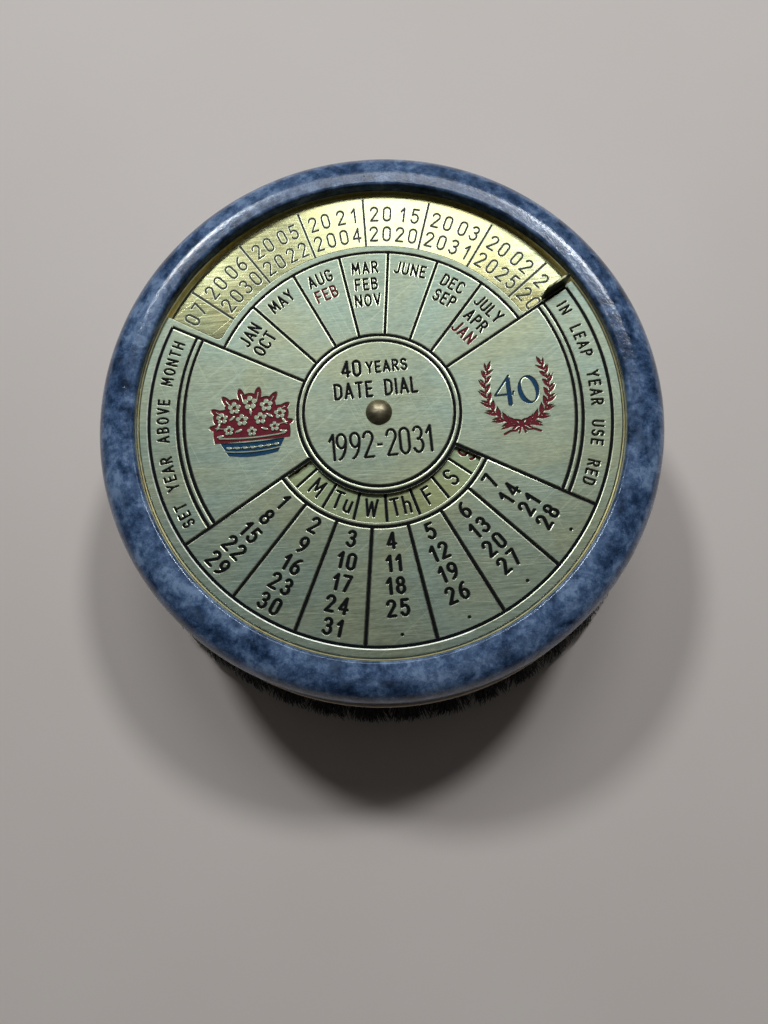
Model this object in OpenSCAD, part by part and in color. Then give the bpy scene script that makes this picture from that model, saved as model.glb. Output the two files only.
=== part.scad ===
// Round desk calendar: a stone puck with a turned recess, a riveted brass
// calendar unit with a turning year disc, and a brush base of short tufts.
// Origin: middle of the underside, on the desk. +Z up, +Y towards the top of
// the dial. Millimetres.

/* [Stone] */
// Radius of the stone puck
stone_r = 41.55; // [40.8:0.05:42]
// Height of the stone puck
stone_h = 13.5; // [12:0.1:16]
// Radius of the rounded top outer edge
edge_r = 3.6; // [2.5:0.1:4]
// Radius of the rounded bottom outer edge
foot_r = 1.2; // [0.6:0.1:2]
// Radius of the shallow crown between the recess lip and the outer edge
crown_r = 9; // [6:0.5:14]
// Radius of the turned recess that holds the calendar unit
recess_r = 35.5; // [35.5:0.05:36]
// Depth of the recess below the rim
recess_d = 3.6; // [3.4:0.1:4]
// Rounding of the recess lip
lip_r = 0.5; // [0.3:0.05:0.8]
// Width of the flat land between the lip and the crown
land_w = 0.7; // [0.1:0.1:1]

/* [Calendar unit] */
// Radius of the face plate
plate_r = 35.2; // [35:0.05:35.3]
// Thickness of the face plate
plate_t = 0.6; // [0.4:0.1:0.6]
// Radius of the year disc
disc_r = 34.8; // [34.5:0.05:34.85]
// Thickness of the year disc
disc_t = 0.4; // [0.3:0.05:0.45]
// Inner radius of the year window, which is open at the plate's edge
year_win_r = 26.25; // [25.8:0.05:26.6]
// Inner radius of the weekday window
day_win_r0 = 12.15; // [11.8:0.05:12.4]
// Outer radius of the weekday window
day_win_r1 = 16.15; // [15.8:0.05:16.5]
// Angle that each window spans, in degrees
win_span = 119; // [117:0.5:120]
// Angle of the year window's right end, in degrees
year_a = 29.8; // [29:0.1:31]

/* [Thumb tab] */
// Length of the tab's fold along the radius
tab_w = 4.6; // [3.4:0.1:5]
// Height of the tab above the year disc
tab_h = 3.1; // [2.4:0.1:3.6]

/* [Rivet] */
// Radius of the rivet's domed head
head_r = 1.95; // [1.7:0.05:2.3]
// Height of the domed head
head_h = 1.15; // [0.9:0.05:1.3]
// Radius of the rivet's shank
shank_r = 1.0; // [0.9:0.05:1.2]

/* [Brush base] */
// Radius of the brush board
board_r = 42.65; // [42.3:0.05:43]
// Thickness of the brush board
board_t = 4.5; // [4:0.1:5]
// Free length of the tufts
tuft_l = 12; // [10:0.5:14]
// Depth of the drilled tuft holes
hole_d = 3.2; // [2.5:0.1:3.4]
// Radius of the drilled tuft holes
hole_r = 1.7; // [1.5:0.05:1.8]
// Outward lean of the outermost tufts, in degrees
tuft_lean = 17; // [10:1:18]

/* [Hidden] */

board_z  = tuft_l;                       // underside of the brush board
glue_t   = 0.2;                          // glue film under the stone
stone_z  = board_z + board_t + glue_t;   // underside of the stone
top_z    = stone_z + stone_h;            // crest of the rim
floor_z  = top_z - recess_d;             // recess floor
pad_t    = 0.3;                          // adhesive pad under the unit
back_z   = floor_z + pad_t;              // back plate
back_t   = 0.55;
wash_z   = back_z + back_t;              // friction washer
wash_t   = 0.15;
disc_z   = wash_z + wash_t + 0.05;       // year disc
plate_z  = disc_z + disc_t + 0.1;        // face plate
plate_top = plate_z + plate_t;
bush_r   = 2.5;                          // bush that the disc turns on
run_c    = 0.05;                         // running clearance of the disc
pin_c    = 0.02;                         // clearance round the shank
pan_ri   = plate_r + 0.05;               // inside of the back plate's turned-up rim
pan_ro   = recess_r - 0.05;              // outside of the same
pan_top  = plate_z + 0.35;               // its top, beside the face plate's edge
half_win = win_span / 2;
tab_a    = year_a;                       // fold line, at the window's end
tab_t    = disc_t;
tab_gap  = 0.1;                          // tab to window end at rest
tab_r0   = disc_r - 0.1 - tab_w;
win_fil  = 0.7;                          // corner radius of the year window
// rings of tufts: [radius, count, outward lean]
RINGS = [[0, 1, 0], [6.6, 6, 0], [13.2, 12, 0], [19.9, 18, 0],
         [26.6, 24, 0], [33.2, 32, 7], [39.6, 40, tuft_lean]];

module ring(r0, r1, h) {
  difference() {
    cylinder(h = h, r = r1, $fn = 180);
    translate([0, 0, -1]) cylinder(h = h + 2, r = r0, $fn = 96);
  }
}

// wedge between two angles, wide enough for the whole dial
module wedge(a0, a1, r = 60) {
  polygon(concat([[0, 0]],
    [for (i = [0:6]) let(a = a0 + (a1 - a0) * i / 6) [r * cos(a), r * sin(a)]]));
}

module annular_sector(r0, r1, a0, a1) {
  intersection() {
    difference() {
      circle(r = r1, $fn = 240);
      circle(r = r0, $fn = 240);
    }
    wedge(a0, a1);
  }
}

// material left in the right-hand inner corner of the year window
module corner_fillet(a) {
  rc = year_win_r + win_fil;
  da = asin(win_fil / rc);
  rt = sqrt(rc * rc - win_fil * win_fil);
  difference() {
    polygon([
      [(year_win_r - 0.2) * cos(a - 0.5), (year_win_r - 0.2) * sin(a - 0.5)],
      [rt * cos(a - 0.5), rt * sin(a - 0.5)],
      [rt * cos(a), rt * sin(a)],
      [rc * cos(a + da), rc * sin(a + da)],
      [year_win_r * cos(a + da), year_win_r * sin(a + da)],
      [(year_win_r - 0.2) * cos(a + da), (year_win_r - 0.2) * sin(a + da)]]);
    translate([rc * cos(a + da), rc * sin(a + da)])
      circle(r = win_fil, $fn = 64);
  }
}

// half section of the puck: a crowned top that runs into the rounded edge
module stone_profile() {
  crest_r = recess_r + lip_r + land_w;
  cx = stone_r - edge_r;                 // centre of the edge's rounding
  cz = top_z - crown_r + sqrt(pow(crown_r - edge_r, 2) - pow(cx - crest_r, 2));
  tx = crest_r + (cx - crest_r) * crown_r / (crown_r - edge_r); // where the two arcs meet
  difference() {
    union() {
      translate([0, stone_z]) square([stone_r - foot_r, foot_r + 0.5]);
      translate([0, stone_z + foot_r]) square([stone_r, cz - stone_z - foot_r]);
      translate([stone_r - foot_r, stone_z + foot_r]) circle(r = foot_r, $fn = 64);
      translate([cx, cz]) circle(r = edge_r, $fn = 96);
      translate([0, cz - 0.5]) square([crest_r, top_z - cz + 0.5]);
      intersection() {
        translate([crest_r, top_z - crown_r]) circle(r = crown_r, $fn = 360);
        translate([crest_r - 0.1, cz - 0.5]) square([tx - crest_r + 0.1, edge_r + 1]);
      }
    }
    translate([-1, floor_z]) square([recess_r + 1, recess_d + 1]);
    translate([-1, floor_z - 1.2]) square([4.5 + 1, 2]);
    translate([recess_r - 0.5, top_z - lip_r]) difference() {
      square([lip_r + 0.5, lip_r + 1]);
      translate([lip_r + 0.5, 0]) circle(r = lip_r, $fn = 48);
    }
  }
}

module marble_body() {
  color("slategray") rotate_extrude($fn = 240) stone_profile();
}

module board_adhesive() {
  color("gainsboro") translate([0, 0, board_z + board_t])
    cylinder(h = glue_t, r = stone_r - 3.4, $fn = 180);
}

module board_profile() {
  e = 0.5;
  translate([0, board_z]) square([board_r - e, board_t]);
  translate([0, board_z + e]) square([board_r, board_t - 2 * e]);
  translate([board_r - e, board_z + e]) circle(r = e, $fn = 32);
  translate([board_r - e, board_z + board_t - e]) circle(r = e, $fn = 32);
}

module brush_board() {
  color("burlywood") difference() {
    rotate_extrude($fn = 240) board_profile();
    for (g = RINGS, i = [0 : g[1] - 1])
      rotate([0, 0, 360 * i / g[1]])
        translate([g[0], 0, board_z - 1])
          cylinder(h = hole_d + 1, r = hole_r, $fn = 32);
  }
}

// one tuft: the gripped root, and the free length that widens to the tips
module tuft(r, lean) {
  translate([r, 0, board_z - 1])
    cylinder(h = hole_d + 0.9, r = hole_r - 0.05, $fn = 32);
  intersection() {
    translate([r - 12, -12, 0]) cube([36, 24, board_z]);
    translate([r, 0, board_z]) rotate([0, 180 - lean, 0])
      translate([0, 0, -2])
        cylinder(h = tuft_l + 5, r1 = 1.9, r2 = 2.85, $fn = 32);
  }
}

module bristle_tufts() {
  color([0.08, 0.08, 0.08])
    for (g = RINGS, i = [0 : g[1] - 1])
      rotate([0, 0, 360 * i / g[1]]) tuft(g[0], g[2]);
}

module unit_adhesive() {
  color("white") translate([0, 0, floor_z]) ring(6, 31, pad_t);
}

module back_plate() {
  color("silver") translate([0, 0, back_z]) {
    ring(shank_r + pin_c, pan_ro, back_t);
    ring(pan_ri, pan_ro, pan_top - back_z);
  }
}

module friction_washer() {
  color("firebrick") translate([0, 0, wash_z]) ring(bush_r + 0.1, 9, wash_t);
}

// upright tab drawn in its own plane: x along the radius, y up
module tab_profile() {
  c = 1.0;
  h = disc_t + tab_h;
  square([tab_w, h - c]);
  translate([c, 0]) square([tab_w - 2 * c, h]);
  translate([c, h - c]) circle(r = c, $fn = 48);
  translate([tab_w - c, h - c]) circle(r = c, $fn = 48);
}

module year_disc() {
  color("gold") union() {
    translate([0, 0, disc_z]) difference() {
      cylinder(h = disc_t, r = disc_r, $fn = 240);
      translate([0, 0, -1]) cylinder(h = disc_t + 2, r = bush_r + run_c, $fn = 96);
      rotate([0, 0, tab_a])
        translate([tab_r0 - 0.2, -tab_h - 0.2, -1])
          cube([tab_w + 3, tab_h + 0.2 + tab_gap, disc_t + 2]);
    }
    rotate([0, 0, tab_a])
      translate([tab_r0, tab_gap + tab_t, disc_z]) rotate([90, 0, 0])
        linear_extrude(height = tab_t) tab_profile();
  }
}

module spacer_bush() {
  color("silver") translate([0, 0, wash_z])
    ring(shank_r + pin_c, bush_r, plate_z - wash_z);
}

module face_outline() {
  difference() {
    circle(r = plate_r, $fn = 240);
    annular_sector(year_win_r, plate_r + 2, year_a, year_a + win_span);
    annular_sector(day_win_r0, day_win_r1, 270 - half_win, 270 + half_win);
    circle(r = shank_r + pin_c, $fn = 96);
  }
  corner_fillet(year_a);
  mirror([1, 0]) corner_fillet(180 - year_a - win_span);
}

module face_plate() {
  color("darkkhaki") translate([0, 0, plate_z])
    linear_extrude(height = plate_t) face_outline();
}

module rivet_profile() {
  rs = (head_r * head_r + head_h * head_h) / (2 * head_h);
  translate([0, plate_top]) intersection() {
    square([head_r + 1, head_h + 1]);
    translate([0, head_h - rs]) circle(r = rs, $fn = 128);
  }
  translate([0, floor_z - 0.1]) square([shank_r, plate_top - floor_z + 0.2]);
  translate([0, floor_z - 0.55]) square([1.75, 0.55]);
}

module centre_rivet() {
  color("darkgoldenrod")
    rotate_extrude($fn = 128) intersection() {
      rivet_profile();
      square([20, 100]);
    }
}

module rivet_washer() {
  color("silver") translate([0, 0, floor_z]) ring(shank_r + pin_c, 2.9, pad_t);
}

marble_body();
board_adhesive();
brush_board();
bristle_tufts();
unit_adhesive();
back_plate();
friction_washer();
year_disc();
spacer_bush();
face_plate();
centre_rivet();
rivet_washer();
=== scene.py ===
import math

import bpy
import numpy as np
from mathutils import Matrix, Vector
from mathutils.geometry import delaunay_2d_cdt


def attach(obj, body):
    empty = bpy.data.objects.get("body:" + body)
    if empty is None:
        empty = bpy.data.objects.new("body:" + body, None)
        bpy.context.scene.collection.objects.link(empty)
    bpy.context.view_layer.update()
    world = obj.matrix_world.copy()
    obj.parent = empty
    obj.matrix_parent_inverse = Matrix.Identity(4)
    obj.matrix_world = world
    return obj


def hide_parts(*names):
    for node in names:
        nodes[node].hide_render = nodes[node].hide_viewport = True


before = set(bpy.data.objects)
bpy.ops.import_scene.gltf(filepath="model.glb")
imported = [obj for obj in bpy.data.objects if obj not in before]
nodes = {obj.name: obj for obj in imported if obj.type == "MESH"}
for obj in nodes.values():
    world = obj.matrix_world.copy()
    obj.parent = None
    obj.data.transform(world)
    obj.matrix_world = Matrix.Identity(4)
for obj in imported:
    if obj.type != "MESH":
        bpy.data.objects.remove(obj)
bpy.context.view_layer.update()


MM = 0.001
rng = np.random.default_rng(40)

# Sizes in millimetres, as in the CAD model.
UX = 0.0             # the dial's axis
R = 35.2             # face plate radius, and the unit of the dial's layout
PLATE_Z0, PLATE_Z1 = 28.15, 28.75
DISC_Z0, DISC_Z1 = 27.65, 28.05
DISC_R = 34.8
YEAR_A0, YEAR_A1 = 29.8, 148.8
TAB_A = YEAR_A0
STONE_Z0, STONE_Z1 = 16.7, 30.2
BOARD_Z0, BOARD_Z1 = 12.0, 16.5
BOARD_R = 42.65
RINGS = [(0.0, 1, 0.0), (6.6, 6, 0.0), (13.2, 12, 0.0), (19.9, 18, 0.0),
         (26.6, 24, 0.0), (33.2, 32, 7.0), (39.6, 40, 17.0)]


# ---------------------------------------------------------------- camera
def make_camera():
    """Above the dial and a little towards its bottom, turned as the photograph is."""
    yaw, pitch, roll = math.radians(-3.3236), math.radians(-79.753), math.radians(-8.9328)
    pos = Vector((UX + 0.460, -34.114, PLATE_Z1 + 107.306))
    f = Vector((math.sin(yaw) * math.cos(pitch), math.cos(yaw) * math.cos(pitch), math.sin(pitch)))
    r = f.cross(Vector((0, 0, 1))).normalized()
    u = r.cross(f)
    r2 = math.cos(roll) * r + math.sin(roll) * u
    u2 = -math.sin(roll) * r + math.cos(roll) * u
    m = Matrix(((r2.x, u2.x, -f.x), (r2.y, u2.y, -f.y), (r2.z, u2.z, -f.z))).to_4x4()
    m.translation = pos * MM
    cam = bpy.data.cameras.new("camera")
    cam.sensor_fit = "HORIZONTAL"
    cam.sensor_width = 36
    cam.lens = 36.047
    cam.clip_start = 0.005
    cam.clip_end = 20
    o = bpy.data.objects.new("camera", cam)
    o.matrix_world = m
    bpy.context.scene.collection.objects.link(o)
    bpy.context.scene.camera = o
    return o


make_camera()


# ---------------------------------------------------------------- small helpers
def polar(r, a):
    a = math.radians(a)
    return (r * math.cos(a), r * math.sin(a))


def new_object(name, verts, faces, mats=None, mat_index=None, smooth=None):
    me = bpy.data.meshes.new(name)
    me.from_pydata([tuple(float(c) for c in v) for v in verts], [], [tuple(int(i) for i in f) for f in faces])
    me.update()
    o = bpy.data.objects.new(name, me)
    bpy.context.scene.collection.objects.link(o)
    for m in mats or []:
        me.materials.append(m)
    if mat_index is not None:
        me.polygons.foreach_set("material_index", np.asarray(mat_index, dtype=np.int32))
    if smooth is not None:
        s = np.full(len(faces), bool(smooth)) if isinstance(smooth, (bool, int)) else np.asarray(smooth, dtype=bool)
        me.polygons.foreach_set("use_smooth", s)
    return o


def marching(values, x0, y0, h, iso=0.0):
    """Closed loops where a grid of values crosses iso, with the lower side on the left."""
    v = values - iso
    v = np.where(v == 0, 1e-9, v)
    ins = v < 0
    a, b, c, d = ins[:-1, :-1], ins[1:, :-1], ins[1:, 1:], ins[:-1, 1:]
    code = a * 1 + b * 2 + c * 4 + d * 8
    table = {1: [(3, 0)], 2: [(0, 1)], 3: [(3, 1)], 4: [(1, 2)], 6: [(0, 2)], 7: [(3, 2)],
             8: [(2, 3)], 9: [(2, 0)], 11: [(2, 1)], 12: [(1, 3)], 13: [(1, 0)], 14: [(0, 3)]}
    nxt, where = {}, {}

    def edge(i, j, k):
        # 0 bottom, 1 right, 2 top, 3 left
        if k == 0:
            key = (0, i, j)
            p, q = (i, j), (i + 1, j)
        elif k == 1:
            key = (1, i + 1, j)
            p, q = (i + 1, j), (i + 1, j + 1)
        elif k == 2:
            key = (0, i, j + 1)
            p, q = (i, j + 1), (i + 1, j + 1)
        else:
            key = (1, i, j)
            p, q = (i, j), (i, j + 1)
        if key not in where:
            vp, vq = v[p], v[q]
            t = vp / (vp - vq)
            t = min(0.999, max(0.001, t))
            where[key] = (x0 + h * (p[0] + t * (q[0] - p[0])), y0 + h * (p[1] + t * (q[1] - p[1])))
        return key

    for i, j in zip(*np.nonzero((code > 0) & (code < 15))):
        i, j = int(i), int(j)
        k = int(code[i, j])
        if k == 5:
            mid = v[i, j] + v[i + 1, j] + v[i + 1, j + 1] + v[i, j + 1] < 0
            segs = [(1, 0), (3, 2)] if mid else [(3, 0), (1, 2)]
        elif k == 10:
            mid = v[i, j] + v[i + 1, j] + v[i + 1, j + 1] + v[i, j + 1] < 0
            segs = [(0, 3), (2, 1)] if mid else [(0, 1), (2, 3)]
        else:
            segs = table[k]
        for s, e in segs:
            # a segment keeps the inside on its left
            nxt[edge(i, j, e)] = edge(i, j, s)
    loops = []
    while nxt:
        start = next(iter(nxt))
        loop, k = [], start
        while k in nxt:
            loop.append(where[k])
            k = nxt.pop(k)
        if len(loop) > 3:
            loops.append(np.array(loop))
    return loops


def simplify(loop, tol):
    """Closed Douglas-Peucker."""
    pts = np.asarray(loop, float)
    n = len(pts)
    if n < 8:
        return pts
    far = int(np.argmax(((pts - pts[0]) ** 2).sum(1)))
    keep = {0, far}
    stack = [(0, far), (far, n)]
    while stack:
        i, j = stack.pop()
        if j - i < 2:
            continue
        p, q = pts[i], pts[j % n]
        seg = pts[i + 1:j]
        d = q - p
        l2 = float(d @ d)
        if l2 < 1e-16:
            dist = np.sqrt(((seg - p) ** 2).sum(1))
        else:
            t = np.clip(((seg - p) @ d) / l2, 0, 1)
            dist = np.sqrt(((seg - (p + t[:, None] * d)) ** 2).sum(1))
        k = int(np.argmax(dist))
        if dist[k] > tol:
            k = i + 1 + k
            keep.add(k)
            stack += [(i, k), (k, j)]
    return pts[sorted(keep)]


def area(loop):
    x, y = loop[:, 0], loop[:, 1]
    return 0.5 * float(np.sum(x * np.roll(y, -1) - y * np.roll(x, -1)))


def rmax(a, b, r):
    """Rounded intersection of two distance fields."""
    return np.minimum(-r, np.maximum(a, b)) + np.hypot(np.maximum(a + r, 0), np.maximum(b + r, 0))


def arc(cx, cy, rx, ry, a0, a1, n=None):
    n = n or max(3, int(abs(a1 - a0) / 14) + 2)
    return [(cx + rx * math.cos(math.radians(a0 + (a1 - a0) * i / (n - 1))),
             cy + ry * math.sin(math.radians(a0 + (a1 - a0) * i / (n - 1)))) for i in range(n)]


# ---------------------------------------------------------------- single-stroke letters
# Each glyph is a width and its strokes, in units of the letter's height.
def _six():
    return [arc(.23, .28, .23, .28, 0, 360), arc(.47, .28, .47, .74, 180, 102)]


GLYPHS = {
    "0": (.46, [arc(.23, .75, .23, .25, 0, 180) + arc(.23, .25, .23, .25, 180, 360) + [(.46, .75)]]),
    "1": (.2, [[(0, .74), (.2, 1), (.2, 0)]]),
    "2": (.46, [arc(.23, .75, .23, .25, 172, -32) + [(0, 0), (.46, 0)]]),
    "3": (.46, [arc(.22, .76, .21, .24, 155, -90), arc(.22, .27, .24, .27, 90, -155)]),
    "4": (.5, [[(.36, 0), (.36, 1), (0, .27), (.5, .27)]]),
    "5": (.45, [[(.42, 1), (.07, 1), (.04, .56)] + arc(.21, .32, .24, .32, 128, -150)]),
    "6": (.46, _six()),
    "7": (.44, [[(0, 1), (.44, 1), (.16, 0)]]),
    "8": (.46, [arc(.23, .76, .2, .24, 0, 360), arc(.23, .27, .23, .27, 0, 360)]),
    "9": (.46, [[(.46 - x, 1 - y) for x, y in s] for s in _six()]),
    "A": (.5, [[(0, 0), (.25, 1), (.5, 0)], [(.09, .32), (.41, .32)]]),
    "B": (.44, [[(0, 0), (0, 1), (.2, 1)] + arc(.2, .77, .2, .23, 90, -90) + [(0, .54)],
                [(.2, .54)] + arc(.2, .27, .24, .27, 90, -90) + [(0, 0)]]),
    "C": (.46, [arc(.24, .74, .24, .26, 22, 180) + arc(.24, .26, .24, .26, 180, 338)]),
    "D": (.46, [[(0, 0), (0, 1), (.16, 1)] + arc(.16, .7, .3, .3, 90, 0) + arc(.16, .3, .3, .3, 0, -90) + [(0, 0)]]),
    "E": (.38, [[(.38, 1), (0, 1), (0, 0), (.38, 0)], [(0, .52), (.32, .52)]]),
    "F": (.38, [[(.38, 1), (0, 1), (0, 0)], [(0, .52), (.32, .52)]]),
    "G": (.48, [arc(.24, .74, .24, .26, 24, 180) + arc(.24, .26, .24, .26, 180, 360) + [(.48, .44), (.28, .44)]]),
    "H": (.46, [[(0, 0), (0, 1)], [(.46, 0), (.46, 1)], [(0, .52), (.46, .52)]]),
    "I": (.04, [[(.02, 0), (.02, 1)]]),
    "J": (.36, [[(.36, 1), (.36, .22)] + arc(.17, .22, .19, .22, 0, -150)]),
    "L": (.36, [[(0, 1), (0, 0), (.36, 0)]]),
    "M": (.6, [[(0, 0), (.05, 1), (.3, .28), (.55, 1), (.6, 0)]]),
    "N": (.48, [[(0, 0), (0, 1), (.48, 0), (.48, 1)]]),
    "O": (.52, [arc(.26, .5, .26, .5, 0, 360, 30)]),
    "P": (.42, [[(0, 0), (0, 1), (.2, 1)] + arc(.2, .745, .22, .255, 90, -90) + [(0, .49)]]),
    "R": (.44, [[(0, 0), (0, 1), (.2, 1)] + arc(.2, .745, .22, .255, 90, -90) + [(0, .49)], [(.2, .49), (.44, 0)]]),
    "S": (.44, [arc(.22, .755, .2, .245, 22, 262) + arc(.22, .265, .22, .265, 82, -155)]),
    "T": (.44, [[(0, 1), (.44, 1)], [(.22, 1), (.22, 0)]]),
    "U": (.46, [[(0, 1)] + arc(.23, .25, .23, .25, 180, 360) + [(.46, 1)]]),
    "V": (.48, [[(0, 1), (.24, 0), (.48, 1)]]),
    "W": (.74, [[(0, 1), (.17, 0), (.37, .85), (.57, 0), (.74, 1)]]),
    "Y": (.48, [[(0, 1), (.24, .47), (.48, 1)], [(.24, .47), (.24, 0)]]),
    "u": (.34, [[(0, .66)] + arc(.17, .2, .17, .2, 180, 360) + [(.34, .66)], [(.34, .66), (.34, 0)]]),
    "h": (.34, [[(0, 1), (0, 0)], arc(.17, .44, .17, .22, 180, 0) + [(.34, 0)]]),
    "-": (.26, [[(0, .44), (.26, .44)]]),
}


def strokes_sdf(X, Y, lines, half):
    d = np.full(X.shape, 1e9)
    for line in lines:
        p = np.asarray(line, float)
        for (ax, ay), (bx, by) in zip(p[:-1], p[1:]):
            ex, ey = bx - ax, by - ay
            l2 = ex * ex + ey * ey
            t = np.clip(((X - ax) * ex + (Y - ay) * ey) / max(l2, 1e-12), 0, 1)
            d = np.minimum(d, np.hypot(X - ax - t * ex, Y - ay - t * ey))
    return d - half


_glyph_cache = {}


def glyph_loops(ch, height, thick, xs, lip):
    """Outline loops of a glyph about its middle, the same a little wider, and its centre-line width."""
    key = (ch, round(height, 3), round(thick, 3), round(xs, 3), lip)
    if key not in _glyph_cache:
        w, lines = GLYPHS[ch]
        hc = height - thick
        wc = w * hc * xs
        lines = [[(x * hc * xs - wc / 2, y * hc - hc / 2) for x, y in s] for s in lines]
        g = max(0.025, thick / 9)
        m = thick * 0.5 + lip + 3 * g
        x0, y0 = -wc / 2 - m, -hc / 2 - m
        nx, ny = int((wc + 2 * m) / g) + 2, int((hc + 2 * m) / g) + 2
        X, Y = np.meshgrid(x0 + g * np.arange(nx), y0 + g * np.arange(ny), indexing="ij")
        F = strokes_sdf(X, Y, lines, thick / 2)
        _glyph_cache[key] = ([simplify(l, 0.008) for l in marching(F, x0, y0, g)],
                             [simplify(l, 0.008) for l in marching(F, x0, y0, g, lip)], wc)
    return _glyph_cache[key]


class Layer:
    """Recessed regions of a dial, each a paint and its outline loops."""

    def __init__(self, lip, line_lip):
        self.regions = []
        self.lip = lip            # width of the bevel round letters
        self.line_lip = line_lip  # and along lines

    def add(self, paint, loops, wide=None, side=5):
        """side is the material slot of the recess's bevel and walls."""
        self.regions.append((paint, [np.asarray(l, float) for l in loops], [np.asarray(l, float) for l in wide or []], side))

    def field(self, paint, fn, box, g, tol):
        x0, y0, x1, y1 = box
        X, Y = np.meshgrid(np.arange(x0, x1, g), np.arange(y0, y1, g), indexing="ij")
        F = fn(X, Y)
        loops = [simplify(l, tol) for l in marching(F, x0, y0, g)]
        wide = [simplify(l, tol) for l in marching(F, x0, y0, g, self.lip * 0.8)]
        self.add(paint, [l for l in loops if abs(area(l)) > 6 * g * g], [l for l in wide if abs(area(l)) > 6 * g * g])

    def glyph(self, ch, x, y, up, height, thick, paint, xs=1.0):
        loops, wide, wc = glyph_loops(ch, height, thick, xs, self.lip)
        ux, uy = up
        m = np.array(((uy, -ux), (ux, uy)))  # rows: right, up
        self.add(paint, [l @ m + (x, y) for l in loops], [l @ m + (x, y) for l in wide])

    def on_arc(self, text, r, mid, height, thick, gap, paint="K", xs=1.0, outward=True, space=None):
        """Letters one by one round an arc, read clockwise with tops outward, or counter-clockwise with tops inward."""
        hc = height - thick
        ws = [GLYPHS[c][0] * hc * xs if c != " " else (space or 0.6 * hc) for c in text]
        total = sum(ws) + gap * (len(text) - 1)
        s = -total / 2
        for c, w in zip(text, ws):
            a = (s + w / 2) / r
            phi = math.radians(mid) + (-a if outward else a)
            up = (math.cos(phi), math.sin(phi)) if outward else (-math.cos(phi), -math.sin(phi))
            if c != " ":
                self.glyph(c, r * math.cos(phi), r * math.sin(phi), up, height, thick, paint, xs)
            s += w + gap

    def straight(self, text, x, y, up, height, thick, gap, paint="K", xs=1.0, space=None):
        hc = height - thick
        ws = [GLYPHS[c][0] * hc * xs if c != " " else (space or 0.6 * hc) for c in text]
        total = sum(ws) + gap * (len(text) - 1)
        right = (up[1], -up[0])
        s = -total / 2
        for c, w in zip(text, ws):
            k = s + w / 2
            if c != " ":
                self.glyph(c, x + right[0] * k, y + right[1] * k, up, height, thick, paint, xs)
            s += w + gap

    def ring(self, r, t, paint="K", n=240):
        a = np.linspace(0, 2 * math.pi, n, endpoint=False)
        c = np.stack([np.cos(a), np.sin(a)], 1)
        w = t / 2 + self.line_lip
        self.add(paint, [c * (r + t / 2), (c * (r - t / 2))[::-1]], [c * (r + w), (c * (r - w))[::-1]])

    def sector(self, r, t, a0, a1, paint="K", outer=None, inner=None, side=5):
        n = max(6, int(abs(a1 - a0) * (r ** 0.5) / 7))
        outer, inner = outer or self.line_lip, inner or self.line_lip

        def loop(o, i, da):
            a = np.radians(np.linspace(a0 - da, a1 + da, n))
            c = np.stack([np.cos(a), np.sin(a)], 1)
            return np.concatenate([c * (r + o), (c * (r - i))[::-1]])

        self.add(paint, [loop(t / 2, t / 2, 0)], [loop(t / 2 + outer, t / 2 + inner, math.degrees(inner / r))], side)

    def bar(self, p, q, t, paint="K", ends=0.0):
        p, q = np.array(p, float), np.array(q, float)
        d = (q - p) / np.linalg.norm(q - p)

        def loop(h, e):
            n = np.array((-d[1], d[0])) * h
            return np.array([p - d * e - n, q + d * e - n, q + d * e + n, p - d * e + n])

        self.add(paint, [loop(t / 2, ends)], [loop(t / 2 + self.line_lip, ends + self.line_lip)])

    def dot(self, x, y, r, paint="K", n=14):
        a = np.linspace(0, 2 * math.pi, n, endpoint=False)
        c = np.stack([np.cos(a), np.sin(a)], 1)
        self.add(paint, [c * r + (x, y)], [c * (r + self.lip) + (x, y)])

    def shape(self, paint, fn):
        """fn(grow) gives the outline, grown by that much."""
        self.add(paint, [fn(0.0)], [fn(self.lip)])


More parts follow.
